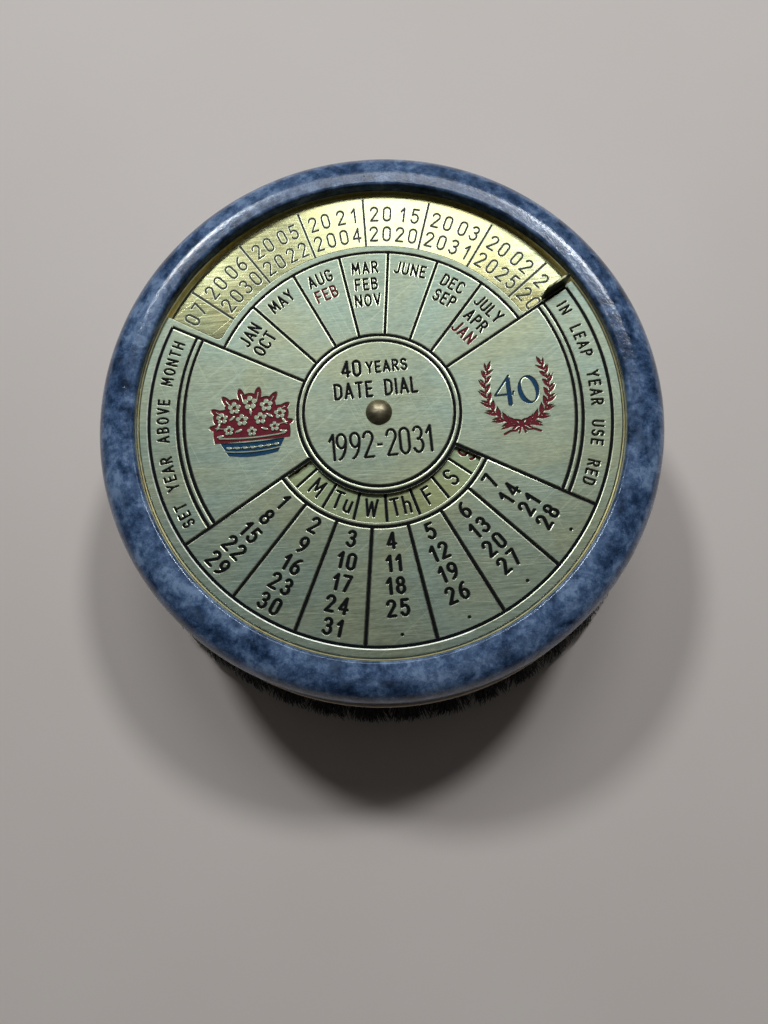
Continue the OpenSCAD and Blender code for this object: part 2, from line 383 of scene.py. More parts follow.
def relief_plate(name, sdf, half, layer, z0, z1, roll, depth, wall, dip, cx, mats):
    """A thin plate with an outline given by a distance field, rolled edges and recessed regions with sloped sides."""
    g = 0.14
    n = int(2 * half / g) + 2
    ax = -half + g * np.arange(n)
    X, Y = np.meshgrid(ax, ax, indexing="ij")
    S = sdf(X, Y)
    steps = [0.0, 0.12, 0.35, 0.65, 1.0]
    verts2, faces_in, info = [], [], []

    def push(loop, tag):
        loop = np.asarray(loop)
        i0 = len(verts2)
        if area(loop) < 0:
            loop = loop[::-1]
        verts2.extend(Vector((float(x), float(y))) for x, y in loop)
        faces_in.append(list(range(i0, i0 + len(loop))))
        info.append(tag)

    outline = []
    for s in steps:
        for loop in marching(S, -half, -half, g, -s * roll):
            loop = simplify(loop, 0.0015)
            push(loop, ("edge", s))
            if s == 0.0:
                outline.append(loop)
    for k, (paint, tight, wide, _side) in enumerate(layer.regions):
        for tag, loops in (("cut", tight), ("lip", wide)):
            loops = [l for l in loops if len(l) > 2]
            if not loops:
                continue
            big = max(loops, key=lambda l: abs(area(l)))
            sign0 = 1 if area(big) > 0 else -1
            for loop in loops:
                inner = area(loop) * sign0 < 0
                push(loop, (tag, k, -1 if inner else 1))
    v2, _e, tris, _ov, _oe, of = delaunay_2d_cdt(verts2, [], faces_in, 0, 1e-5, True)
    P = np.array([(v.x, v.y) for v in v2])
    tris = np.array([list(t) for t in tris], dtype=np.int64)
    cent = P[tris].mean(1)
    keep = sdf(cent[:, 0], cent[:, 1]) < 0
    paint_of = np.zeros(len(tris), dtype=np.int32)
    lip_of = np.zeros(len(tris), dtype=np.int32)
    side_of = np.zeros(len(tris), dtype=np.int32)
    slots = {"K": 1, "R": 2, "B": 3}
    for i, ids in enumerate(of):
        if not keep[i]:
            continue
        score, lips = {}, {}
        for f in ids:
            t = info[f]
            if t[0] == "cut":
                score[t[1]] = score.get(t[1], 0) + t[2]
            elif t[0] == "lip":
                lips[t[1]] = lips.get(t[1], 0) + t[2]
        for k, sc in score.items():
            if sc > 0:
                paint_of[i] = slots[layer.regions[k][0]]
                side_of[i] = max(side_of[i], layer.regions[k][3])
        for k, sc in lips.items():
            if sc > 0:
                lip_of[i] = max(lip_of[i], layer.regions[k][3])
    tris, paint_of, lip_of, side_of = tris[keep], paint_of[keep], lip_of[keep], side_of[keep]
    # counter-clockwise
    a = P[tris[:, 1]] - P[tris[:, 0]]
    b = P[tris[:, 2]] - P[tris[:, 0]]
    flip = (a[:, 0] * b[:, 1] - a[:, 1] * b[:, 0]) < 0
    tris[flip] = tris[flip][:, ::-1]
    d = -sdf(P[:, 0], P[:, 1])
    u = np.clip(roll - d, 0, roll)
    drop = roll - np.sqrt(np.maximum(roll * roll - u * u, 0))
    used_top = np.zeros(len(P), bool)
    used_top[tris[paint_of == 0].ravel()] = True
    cut = paint_of > 0
    # edges between raised and recessed triangles
    edge_tri = {}
    for i, t in enumerate(tris):
        for p, q in ((t[0], t[1]), (t[1], t[2]), (t[2], t[0])):
            edge_tri[(int(p), int(q))] = i
    borders, shift = [], np.zeros((len(P), 2))
    count = np.zeros(len(P))
    hull = []
    for (p, q), i in edge_tri.items():
        j = edge_tri.get((q, p))
        if j is None:
            hull.append((p, q, i))
            continue
        if cut[i] and not cut[j]:
            borders.append((p, q, i))
            e = P[q] - P[p]
            ln = math.hypot(e[0], e[1])
            if ln > 1e-9:
                nrm = np.array((-e[1], e[0])) / ln  # inward, the recessed side is on the left
                shift[p] += nrm
                shift[q] += nrm
                count[p] += 1
                count[q] += 1
    has = count > 0
    ln = np.linalg.norm(shift, axis=1)
    ok = has & (ln > 1e-6)
    # mitred, at most 1.6 times the wall's width
    scale = np.zeros(len(P))
    scale[ok] = np.minimum(count[ok] / np.maximum(ln[ok], 1e-6), 1.6) / np.maximum(ln[ok], 1e-6)
    Pf = P + shift * (scale * wall)[:, None]
    verts, index_top, index_cut = [], {}, {}

    def top(i):
        if i not in index_top:
            index_top[i] = len(verts)
            # bevels are worn less towards the top of the dial
            sink = min(1.0, max(0.3, 0.6 - 0.0125 * P[i, 1])) * dip if has[i] else 0.0
            verts.append((P[i, 0] + cx, P[i, 1], z1 - drop[i] - sink))
        return index_top[i]

    def low(i):
        if i not in index_cut:
            index_cut[i] = len(verts)
            verts.append((Pf[i, 0] + cx, Pf[i, 1], z1 - depth))
        return index_cut[i]

    faces, mat, smooth = [], [], []
    near = d < roll + 1e-4
    for t, m, lp in zip(tris, paint_of, lip_of):
        t = [int(k) for k in t]
        if m:
            faces.append(tuple(low(k) for k in t))
            smooth.append(False)
        else:
            faces.append(tuple(top(k) for k in t))
            smooth.append(bool(near[t[0]] and near[t[1]] and near[t[2]]) and min(d[t]) < roll * 0.98)
        rolled = near[t[0]] and near[t[1]] and near[t[2]]
        mat.append(int(m) if m else (5 if rolled else int(lp)))
    for p, q, i in borders:
        faces.append((top(p), top(q), low(q), low(p)))
        mat.append(int(side_of[i]))
        smooth.append(False)
    base = {}

    def under(i):
        if i not in base:
            base[i] = len(verts)
            verts.append((P[i, 0] + cx, P[i, 1], z0))
        return base[i]

    for p, q, i in hull:
        pick = low if cut[i] else top
        faces.append((pick(q), pick(p), under(p), under(q)))
        mat.append(4)
        smooth.append(True)
    # flat back, from the same border points
    chain = {p: q for p, q, _ in hull}
    seen, back_v, back_f, back_id = set(), [], [], []
    for s in list(chain):
        if s in seen:
            continue
        loop, k = [], s
        while k not in seen:
            seen.add(k)
            loop.append(k)
            k = chain[k]
        i0 = len(back_v)
        back_v += [Vector((P[k, 0], P[k, 1])) for k in loop]
        back_id += loop
        back_f.append(list(range(i0, i0 + len(loop))))
    bv, _, bt, bo, _, _ = delaunay_2d_cdt(back_v, [], back_f, 0, 1e-6, True)
    bP = np.array([(v.x, v.y) for v in bv])
    for t in bt:
        c = bP[list(t)].mean(0)
        if sdf(c[0:1], c[1:2])[0] < 0 and all(bo[k] for k in t):
            q = [under(back_id[bo[k][0]]) for k in t]
            pa, pb, pc = (bP[k] for k in t)
            if (pb[0] - pa[0]) * (pc[1] - pa[1]) - (pb[1] - pa[1]) * (pc[0] - pa[0]) > 0:
                q = q[::-1]
            faces.append(tuple(q))
            mat.append(4)
            smooth.append(False)
    return new_object(name, np.array(verts) * MM, faces, mats, mat, smooth)


def lathe(name, profile, segments, mats, cx=0.0, smooth_angle=40, wobble=None):
    """A closed turned solid: profile is a closed list of (radius, z), anticlockwise, or one that starts and ends on the axis."""
    prof = [(float(r), float(z)) for r, z in profile]
    verts, faces, rings = [], [], []
    for r, z in prof:
        if r < 1e-6:
            rings.append([len(verts)])
            verts.append((cx, 0, z))
        else:
            i0 = len(verts)
            for k in range(segments):
                a = 2 * math.pi * k / segments
                rr, zz = r, z
                if wobble is not None:
                    rr, zz = wobble(r, z, a)
                verts.append((cx + rr * math.cos(a), rr * math.sin(a), zz))
            rings.append(list(range(i0, i0 + segments)))
    closed = len(rings[0]) > 1
    pairs = list(zip(rings, rings[1:] + ([rings[0]] if closed else [])))
    if not closed:
        pairs = list(zip(rings, rings[1:]))
    for A, B in pairs:
        for k in range(segments):
            k2 = (k + 1) % segments
            if len(A) == 1 and len(B) == 1:
                continue
            if len(A) == 1:
                faces.append((A[0], B[k2], B[k]))
            elif len(B) == 1:
                faces.append((A[k], A[k2], B[0]))
            else:
                faces.append((A[k], A[k2], B[k2], B[k]))
    o = new_object(name, np.array(verts) * MM, faces, mats, None, True)
    o.data.set_sharp_from_angle(angle=math.radians(smooth_angle))
    return o


# ---------------------------------------------------------------- materials
def material(name):
    m = bpy.data.materials.new(name)
    m.use_nodes = True
    nt = m.node_tree
    nt.nodes.clear()
    out = nt.nodes.new("ShaderNodeOutputMaterial")
    bsdf = nt.nodes.new("ShaderNodeBsdfPrincipled")
    nt.links.new(bsdf.outputs[0], out.inputs[0])
    return m, nt, bsdf


class Tree:
    def __init__(self, nt):
        self.nt = nt
        self.coord = nt.nodes.new("ShaderNodeTexCoord").outputs["Object"]

    def link(self, a, b):
        self.nt.links.new(a, b)

    def mapped(self, scale, rot=(0, 0, 0), loc=(0, 0, 0)):
        n = self.nt.nodes.new("ShaderNodeMapping")
        n.inputs["Scale"].default_value = [1000 * s for s in scale]
        n.inputs["Rotation"].default_value = [math.radians(r) for r in rot]
        n.inputs["Location"].default_value = loc
        self.link(self.coord, n.inputs["Vector"])
        return n.outputs[0]

    def turned(self, scale, angle, loc=(0, 0, 0)):
        """Coordinates turned about Z first and scaled after."""
        n = self.nt.nodes.new("ShaderNodeMapping")
        n.inputs["Rotation"].default_value = (0, 0, math.radians(angle))
        self.link(self.coord, n.inputs["Vector"])
        k = self.nt.nodes.new("ShaderNodeMapping")
        k.inputs["Scale"].default_value = [1000 * s for s in scale]
        k.inputs["Location"].default_value = loc
        self.link(n.outputs[0], k.inputs["Vector"])
        return k.outputs[0]

    def noise(self, vec, scale=1.0, detail=4.0, rough=0.5, distortion=0.0, kind="FBM"):
        n = self.nt.nodes.new("ShaderNodeTexNoise")
        n.noise_dimensions = "3D"
        n.noise_type = kind
        n.inputs["Scale"].default_value = scale
        n.inputs["Detail"].default_value = detail
        n.inputs["Roughness"].default_value = rough
        n.inputs["Distortion"].default_value = distortion
        self.link(vec, n.inputs["Vector"])
        return n.outputs[0]

    def axis_mask(self, r0, r1):
        """1 inside radius r0 (mm), 0 outside r1."""
        n = self.nt.nodes.new("ShaderNodeVectorMath")
        n.operation = "LENGTH"
        self.link(self.mapped((1, 1, 0)), n.inputs[0])
        return self.ramp(self.math("MULTIPLY", n.outputs["Value"], 0.02), [(r0 * 0.02, 1.0), (r1 * 0.02, 0.0)])

    def voronoi(self, vec, scale=1.0, feature="F1", out="Distance", randomness=1.0):
        n = self.nt.nodes.new("ShaderNodeTexVoronoi")
        n.feature = feature
        n.inputs["Scale"].default_value = scale
        n.inputs["Randomness"].default_value = randomness
        self.link(vec, n.inputs["Vector"])
        return n.outputs[out]

    def ramp(self, fac, stops, interp="LINEAR"):
        n = self.nt.nodes.new("ShaderNodeValToRGB")
        n.color_ramp.interpolation = interp
        el = n.color_ramp.elements
        while len(el) > 1:
            el.remove(el[-1])
        for i, (p, c) in enumerate(stops):
            e = el[0] if i == 0 else el.new(p)
            e.position = p
            c = (c, c, c) if isinstance(c, (int, float)) else c
            e.color = (*c, 1)
        self.link(fac, n.inputs[0])
        return n.outputs[0]

    def mix(self, fac, a, b, mode="MIX"):
        n = self.nt.nodes.new("ShaderNodeMix")
        n.data_type = "RGBA"
        n.blend_type = mode
        for v, i in ((fac, 0), (a, 6), (b, 7)):
            s = n.inputs[i]
            if isinstance(v, (int, float)):
                s.default_value = v if i == 0 else (v, v, v, 1)
            elif isinstance(v, tuple):
                s.default_value = (*v, 1)
            else:
                self.link(v, s)
        return n.outputs[2]

    def math(self, op, a, b=None, c=None, clamp=False):
        n = self.nt.nodes.new("ShaderNodeMath")
        n.operation = op
        n.use_clamp = clamp
        for i, v in enumerate((a, b, c)):
            if v is None:
                continue
            if isinstance(v, (int, float)):
                n.inputs[i].default_value = v
            else:
                self.link(v, n.inputs[i])
        return n.outputs[0]

    def bump(self, height, strength, distance, normal=None):
        n = self.nt.nodes.new("ShaderNodeBump")
        n.inputs["Strength"].default_value = strength
        n.inputs["Distance"].default_value = distance
        self.link(height, n.inputs["Height"])
        if normal is not None:
            self.link(normal, n.inputs["Normal"])
        return n.outputs[0]


def brass(name, low, high, rough=0.36, seed=0.0, grain=1.0, tarnish=1.0, dull=0.0):
    """Brushed brass: grain along X, faint cross scratches, cloudy tarnish."""
    m, nt, b = material(name)
    t = Tree(nt)
    fine = t.noise(t.mapped((0.22, 9.0, 1.0), loc=(seed, 0, 0)), 1.0, 3.0, 0.6)
    mid = t.noise(t.mapped((0.10, 2.6, 1.0), loc=(seed + 5, 3, 0)), 1.0, 4.0, 0.65)
    cloud = t.noise(t.mapped((0.055, 0.10, 0.05), loc=(seed + 2, 7, 0)), 1.0, 5.0, 0.6, 0.4)
    mott = t.noise(t.mapped((0.5, 1.6, 0.5), loc=(seed + 9, 1, 0)), 1.0, 3.0, 0.6)
    f = t.math("MULTIPLY_ADD", mid, 0.55, t.math("MULTIPLY", cloud, 0.45))
    f = t.math("MULTIPLY_ADD", mott, 0.25, t.math("MULTIPLY", f, 0.78))
    col = t.ramp(f, [(0.34, low), (0.50, tuple((p + q) / 2 for p, q in zip(low, high))), (0.66, high)])
    streak = t.ramp(fine, [(0.30, 0.80), (0.52, 1.0), (0.74, 1.10)])
    col = t.mix(0.55 * grain, col, t.mix(1.0, col, streak, "MULTIPLY"))
    # short dashes left by the brush
    dash = t.noise(t.mapped((1.1, 4.6, 1.0), loc=(seed + 3, 1, 4)), 1.0, 2.0, 0.6)
    col = t.mix(0.8 * grain, col, t.mix(1.0, col, t.ramp(dash, [(0.32, 0.80), (0.50, 0.98), (0.68, 1.16)]), "MULTIPLY"))
    # cooler and warmer patches where the lacquer has aged
    age = t.noise(t.mapped((0.075, 0.085, 0.05), loc=(seed + 31, 2, 5)), 1.0, 3.0, 0.55, 0.6)
    tint = t.ramp(age, [(0.36, (0.93, 1.03, 1.14)), (0.50, (1.0, 1.0, 1.0)), (0.64, (1.07, 0.98, 0.84))])
    col = t.mix(0.65 * tarnish, col, t.mix(1.0, col, tint, "MULTIPLY"))
    inner = t.axis_mask(18.5, 20.0) if dull else None
    if dull:
        col = t.mix(inner, col, t.mix(1.0, col, (0.80, 0.93, 1.02), "MULTIPLY"))
    # thin scratches in two directions
    scr = None
    for ang, sc, thr in ((67, (0.035, 3.1, 1), 0.685), (-38, (0.045, 2.3, 1), 0.70), (8, (0.03, 3.6, 1), 0.675)):
        n = t.noise(t.turned(sc, ang, (seed * 3 + ang, 0, 0)), 1.0, 1.0, 0.4)
        s = t.ramp(n, [(thr, 0.0), (thr + 0.02, 1.0)])
        scr = s if scr is None else t.math("MAXIMUM", scr, s)
    col = t.mix(t.math("MULTIPLY", scr, 0.22), col, tuple(min(1, 1.25 * c) for c in high))
    t.link(col, b.inputs["Base Color"])
    b.inputs["Metallic"].default_value = 1.0
    r = t.math("MULTIPLY_ADD", mid, 0.16, rough - 0.08)
    r = t.math("MULTIPLY_ADD", cloud, 0.12 * tarnish, t.math("SUBTRACT", r, 0.05))
    if dull:
        r = t.math("MULTIPLY_ADD", inner, dull, r)
    t.link(r, b.inputs["Roughness"])
    h = t.math("MULTIPLY_ADD", fine, 1.0, t.math("MULTIPLY", mid, 0.9))
    h = t.math("MULTIPLY_ADD", scr, -0.5, h)
    n1 = t.bump(h, (0.13 if dull else 0.32) * grain, 0.00002)
    big = t.noise(t.mapped((0.10, 0.14, 0.1), loc=(seed, seed, 1)), 1.0, 2.0, 0.5)
    n2 = t.bump(big, 0.15 if dull else 0.5, 0.00006, n1)
    t.link(n2, b.inputs["Normal"])
    return m


def paint(name, dark, light, rough=0.38, metal=0.0, spec=0.5):
    """Brushed-in enamel, thin and a little uneven."""
    m, nt, b = material(name)
    t = Tree(nt)
    n = t.noise(t.mapped((1.6, 3.2, 2.0)), 1.0, 4.0, 0.6)
    t.link(t.ramp(n, [(0.35, dark), (0.68, light)]), b.inputs["Base Color"])
    t.link(t.math("MULTIPLY_ADD", n, 0.25, rough - 0.12), b.inputs["Roughness"])
    b.inputs["Metallic"].default_value = metal
    b.inputs["Specular IOR Level"].default_value = spec
    t.link(t.bump(t.noise(t.mapped((5, 5, 5)), 1.0, 3.0, 0.6), 0.25, 0.00003), b.inputs["Normal"])
    return m


def stone_material():
    m, nt, b = material("slate_marble")
    t = Tree(nt)
    warp = t.noise(t.mapped((0.09, 0.09, 0.13)), 1.0, 4.0, 0.55, 0.7)
    cloud = t.noise(t.mapped((0.16, 0.16, 0.26), rot=(10, 20, 35)), 1.0, 6.0, 0.62, 1.0)
    fine = t.noise(t.mapped((1.5, 1.5, 1.9)), 1.0, 5.0, 0.68)
    patch = t.noise(t.mapped((0.48, 0.48, 0.62), rot=(30, 10, 5), loc=(3, 8, 1)), 1.0, 3.0, 0.55, 0.5)
    grit = t.noise(t.mapped((4.5, 4.5, 4.5)), 1.0, 3.0, 0.6)
    f = t.math("MULTIPLY_ADD", cloud, 0.40, t.math("MULTIPLY", fine, 0.20))
    f = t.math("MULTIPLY_ADD", patch, 0.32, f)
    f = t.math("MULTIPLY_ADD", grit, 0.12, f)
    col = t.ramp(f, [(0.41, (0.012, 0.027, 0.062)), (0.48, (0.041, 0.081, 0.168)),
                     (0.545, (0.105, 0.178, 0.325)), (0.62, (0.26, 0.37, 0.56))])
    # pale cloudy bands along the bedding, thin and broken
    ridge = t.math("ABSOLUTE", t.math("SUBTRACT", warp, 0.5))
    vein = t.ramp(ridge, [(0.0, 1.0), (0.018, 0.35), (0.05, 0.0)])
    vein = t.math("MULTIPLY", vein, t.ramp(t.noise(t.mapped((0.3, 0.3, 0.3), loc=(4, 4, 4)), 1.0, 3.0, 0.6), [(0.45, 0.0), (0.6, 1.0)]))
    col = t.mix(t.math("MULTIPLY", vein, 0.35), col, (0.16, 0.23, 0.34))
    # crystal specks
    vor = t.voronoi(t.mapped((1.7, 1.7, 1.7)), 1.0, "F1", "Distance")
    spk = t.math("MULTIPLY", t.ramp(vor, [(0.10, 1.0), (0.20, 0.0)]), t.ramp(fine, [(0.50, 0.0), (0.62, 1.0)]))
    col = t.mix(t.math("MULTIPLY", spk, 0.5), col, (0.30, 0.40, 0.54))
    dark = t.voronoi(t.mapped((1.1, 1.1, 1.1), loc=(7, 1, 3)), 1.0, "F1", "Distance")
    dk = t.math("MULTIPLY", t.ramp(dark, [(0.08, 1.0), (0.20, 0.0)]), t.ramp(fine, [(0.40, 1.0), (0.50, 0.0)]))
    col = t.mix(t.math("MULTIPLY", dk, 0.6), col, (0.010, 0.014, 0.022))
    t.link(col, b.inputs["Base Color"])
    r = t.math("MULTIPLY_ADD", fine, 0.20, 0.04)
    r = t.math("MULTIPLY_ADD", spk, -0.05, r)
    t.link(r, b.inputs["Roughness"])
    b.inputs["IOR"].default_value = 1.62
    h = t.math("MULTIPLY_ADD", grit, 0.6, fine)
    h = t.math("MULTIPLY_ADD", dk, -0.5, h)
    t.link(t.bump(h, 0.55, 0.00005), b.inputs["Normal"])
    return m


def board_material():
    m, nt, b = material("board_birch")
    t = Tree(nt)
    ring = t.noise(t.mapped((0.05, 0.7, 2.2)), 1.0, 5.0, 0.6, 0.6)
    pore = t.noise(t.mapped((0.25, 6.0, 6.0)), 1.0, 3.0, 0.6)
    col = t.ramp(ring, [(0.35, (0.55, 0.41, 0.28)), (0.52, (0.68, 0.54, 0.40)), (0.66, (0.78, 0.65, 0.50))])
    col = t.mix(t.ramp(pore, [(0.58, 0.0), (0.72, 0.45)]), col, (0.26, 0.17, 0.11))
    t.link(col, b.inputs["Base Color"])
    t.link(t.math("MULTIPLY_ADD", pore, 0.2, 0.36), b.inputs["Roughness"])
    t.link(t.bump(t.math("MULTIPLY_ADD", ring, 0.5, pore), 0.25, 0.00008), b.inputs["Normal"])
    return m


def bristle_material():
    m, nt, b = material("bristle_black")
    t = Tree(nt)
    n = t.noise(t.mapped((1.4, 1.4, 0.25)), 1.0, 3.0, 0.6)
    t.link(t.ramp(n, [(0.35, (0.003, 0.0025, 0.002)), (0.55, (0.007, 0.0055, 0.005)), (0.72, (0.020, 0.014, 0.011))]), b.inputs["Base Color"])
    t.link(t.math("MULTIPLY_ADD", n, 0.25, 0.42), b.inputs["Roughness"])
    b.inputs["Specular IOR Level"].default_value = 0.25
    t.link(t.bump(t.noise(t.mapped((8, 8, 1.0)), 1.0, 2.0, 0.5), 0.3, 0.00003), b.inputs["Normal"])
    return m


def plain(name, a, c, rough, metal=0.0, scale=(1.2, 1.2, 1.2), bump=0.2):
    m, nt, b = material(name)
    t = Tree(nt)
    n = t.noise(t.mapped(scale), 1.0, 5.0, 0.62)
    t.link(t.ramp(n, [(0.35, a), (0.65, c)]), b.inputs["Base Color"])
    t.link(t.math("MULTIPLY_ADD", n, 0.2, rough - 0.1), b.inputs["Roughness"])
    b.inputs["Metallic"].default_value = metal
    t.link(t.bump(n, bump, 0.00005), b.inputs["Normal"])
    return m


M_FACE = brass("brass_face", (0.240, 0.284, 0.209), (0.428, 0.474, 0.343), 0.52, 0.0)
M_DISC = brass("brass_disc", (0.33, 0.32, 0.155), (0.54, 0.52, 0.27), 0.175, 11.0, 0.9, dull=0.30)
M_EDGE = plain("brass_cut", (0.42, 0.38, 0.20), (0.62, 0.57, 0.32), 0.30, 1.0, (0.6, 0.6, 4.0), 0.25)
M_LIP = plain("brass_lip", (0.36, 0.38, 0.26), (0.58, 0.59, 0.42), 0.34, 1.0, (0.6, 2.0, 2.0), 0.15)
# painted highlight: a paler, more silvery brass, used only on the outer line's wider bevel along its lower-left arc
# where the lights glint; that wider slope also catches real light
M_LIP_HIGHLIGHT = plain("brass_lip_painted_highlight", (0.38, 0.40, 0.33), (0.58, 0.59, 0.50), 0.36, 1.0, (0.5, 1.4, 1.4), 0.15)
M_RIVET = brass("brass_rivet", (0.31, 0.25, 0.15), (0.58, 0.48, 0.30), 0.46, 23.0, 0.4)
# painted shade: the tab is the disc's own sheet, given a brass about half as bright as the disc's so that it reads as
# lying in shadow
M_TAB_SHADED = brass("brass_tab_painted_shade", (0.15, 0.14, 0.075), (0.30, 0.28, 0.15), 0.40, 61.0, 0.8)
# painted light: the back plate's brass is made far paler than the rest so that its rim, in shade between the disc and
# the stone, still shows as a gold band
M_PAN_PAINTED_LIGHT = brass("brass_pan_painted_light", (0.84, 0.72, 0.32), (1.0, 0.92, 0.50), 0.46, 47.0, 0.7)
M_BLACK = paint("enamel_black", (0.0015, 0.002, 0.0025), (0.005, 0.006, 0.007), 0.60, 0.0, 0.12)
M_RED = paint("enamel_red", (0.15, 0.006, 0.016), (0.27, 0.018, 0.036), 0.55, 0.0, 0.18)
M_BLUE = paint("enamel_blue", (0.002, 0.040, 0.110), (0.008, 0.085, 0.185), 0.55, 0.0, 0.18)
M_GREY = paint("year_fill", (0.018, 0.018, 0.013), (0.050, 0.049, 0.037), 0.38, 0.45, 0.25)
M_STONE = stone_material()
M_BOARD = board_material()
M_BRISTLE = bristle_material()
M_STEEL = plain("zinc_steel", (0.45, 0.46, 0.47), (0.62, 0.63, 0.64), 0.36, 1.0, (0.3, 3.0, 1.0))
M_GLUE = plain("adhesive", (0.55, 0.53, 0.46), (0.70, 0.68, 0.60), 0.6, 0.0, (0.8, 0.8, 0.8), 0.4)
M_FIBRE = plain("red_fibre", (0.22, 0.05, 0.035), (0.36, 0.10, 0.06), 0.7, 0.0, (3, 3, 3), 0.4)


# ---------------------------------------------------------------- face plate
def half_plane(X, Y, ang):
    """Signed distance to the line at that angle through the axis, positive on its anticlockwise side."""
    a = math.radians(ang)
    return -X * math.sin(a) + Y * math.cos(a)


def face_sdf(X, Y):
    rho = np.hypot(X, Y)
    wa = np.maximum(-half_plane(X, Y, YEAR_A0), half_plane(X, Y, YEAR_A1))
    year = rmax(26.25 - rho, wa, 0.7)
    wb = np.maximum(-half_plane(X, Y, 210.5), half_plane(X, Y, 329.5))
    day = np.maximum(rmax(12.15 - rho, wb, 0.15), rmax(rho - 16.15, wb, 0.15))
    body = rmax(rho - R, -year, 0.35)
    body = np.maximum(body, -day)
    return np.maximum(body, 1.02 - rho)


def left_emblem(layer):
    """A bowl of blossoms: red ground with raised flowers, over a blue bowl."""
    cx, cy = -0.53 * R, 0.0

    def circ(X, Y, x, y, r):
        return np.hypot(X - cx - x, Y - cy - y) - r

    # blossoms on a fan: (x, y, radius)
    blossoms = [(0.0, 3.35, 1.12), (-2.35, 2.75, 1.02), (2.35, 2.75, 1.02), (-4.25, 1.35, 0.92), (4.25, 1.35, 0.92),
                (-1.35, 0.85, 0.98), (1.35, 0.85, 0.98), (-3.35, -0.55, 0.80), (3.35, -0.55, 0.80), (0.0, -1.0, 0.78)]
    tips = [(-5.55, -0.15), (5.55, -0.15), (-5.3, 2.35), (5.3, 2.35), (-3.7, 4.05), (3.7, 4.05), (-1.35, 4.95), (1.35, 4.95)]

    def red(X, Y):
        x, y = X - cx, Y - cy
        # rounded mass with a scalloped edge
        mass = np.maximum(np.hypot(x / 5.6, (y + 1.2) / 5.2) - 1, -1) * 5.2
        for bx, by, br in blossoms:
            mass = np.minimum(mass, circ(X, Y, bx, by, br + 0.36))
        mass = np.maximum(mass, -(y + 2.35))
        for tx, ty in tips:
            # leaves that reach out of the mass
            ln = math.hypot(tx, ty + 1.0)
            ux, uy = tx / ln, (ty + 1.0) / ln
            s = (x - tx * 0.86) * ux + (y - ty * 0.86) * uy
            w = -(x - tx * 0.86) * uy + (y - ty * 0.86) * ux
            mass = np.minimum(mass, np.hypot(s / 1.35, w / 0.52) * 0.52 - 0.52)
        keep = np.full(X.shape, 1e9)
        for bx, by, br in blossoms:
            for k in range(5):
                a = math.radians(90 + 72 * k)
                keep = np.minimum(keep, circ(X, Y, bx + br * 0.60 * math.cos(a), by + br * 0.60 * math.sin(a), br * 0.36))
            keep = np.maximum(keep, -circ(X, Y, bx, by, br * 0.20))
        for tx, ty in tips:
            ln = math.hypot(tx, ty + 1.0)
            ux, uy = tx / ln, (ty + 1.0) / ln
            s = (x - tx * 0.86) * ux + (y - ty * 0.86) * uy
            w = -(x - tx * 0.86) * uy + (y - ty * 0.86) * ux
            keep = np.minimum(keep, np.maximum(np.abs(w) - 0.09, np.abs(s + 0.15) - 0.75))
        # small leaves between the blossoms
        for lx, ly, la in ((-2.75, 1.2, 35), (2.75, 1.2, 145), (0, 2.0, 90), (-1.9, -0.75, 20), (1.9, -0.75, 160),
                           (-4.85, 0.1, 60), (4.85, 0.1, 120), (-4.6, -1.35, 10), (4.6, -1.35, 170)):
            a = math.radians(la)
            s = (x - lx) * math.cos(a) + (y - ly) * math.sin(a)
            w = -(x - lx) * math.sin(a) + (y - ly) * math.cos(a)
            keep = np.minimum(keep, np.hypot(s / 0.55, w / 0.2) * 0.2 - 0.2)
        keep = np.minimum(keep, np.maximum(np.abs(y + 1.92 + 0.10 * np.abs(x) * 0 - 0.012 * x * x) - 0.13, np.abs(x) - 4.9))
        return np.maximum(mass, -keep)

    def blue(X, Y):
        x, y = X - cx, Y - cy
        top = y - (-2.62 + 0.012 * x * x)
        side = np.abs(x) - (4.55 + 0.55 * (y + 2.6))
        bot = -(y - (-4.75 + 0.030 * x * x))
        bowl = np.maximum(np.maximum(top, side), bot)
        keep = np.full(X.shape, 1e9)
        for k in range(-3, 4):
            keep = np.minimum(keep, np.hypot((x - 1.15 * k) / 0.40, (y + 3.35 - 0.013 * x * x) / 0.22) * 0.22 - 0.22)
        for k in range(-3, 3):
            keep = np.minimum(keep, np.hypot(x - 1.15 * (k + 0.5), y + 3.35 - 0.013 * x * x) - 0.13)
        keep = np.minimum(keep, np.abs(y + 4.0 - 0.02 * x * x) - 0.11)
        return np.maximum(bowl, -keep)

    box = (cx - 7.2, cy - 5.6, cx + 7.2, cy + 6.6)
    layer.field("R", red, box, 0.035, 0.008)
    layer.field("B", blue, box, 0.035, 0.008)


def leaf(x, y, ang, ln, w, n=7, grow=0.0):
    """A pointed leaf that grows from its base point."""
    a = math.radians(ang)
    x, y = x - 1.5 * grow * math.cos(a), y - 1.5 * grow * math.sin(a)
    ln, w = ln + 3 * grow, w + 1.15 * grow
    pts = []
    for side in (1, -1):
        for i in range(n):
            s = i / (n - 1) if side == 1 else 1 - i / (n - 1)
            if side == -1 and (i == 0 or i == n - 1):
                continue
            h = side * w * math.sin(math.pi * s ** 0.8)
            pts.append((x + ln * s * math.cos(a) - h * math.sin(a), y + ln * s * math.sin(a) + h * math.cos(a)))
    return np.array(pts)[::-1]


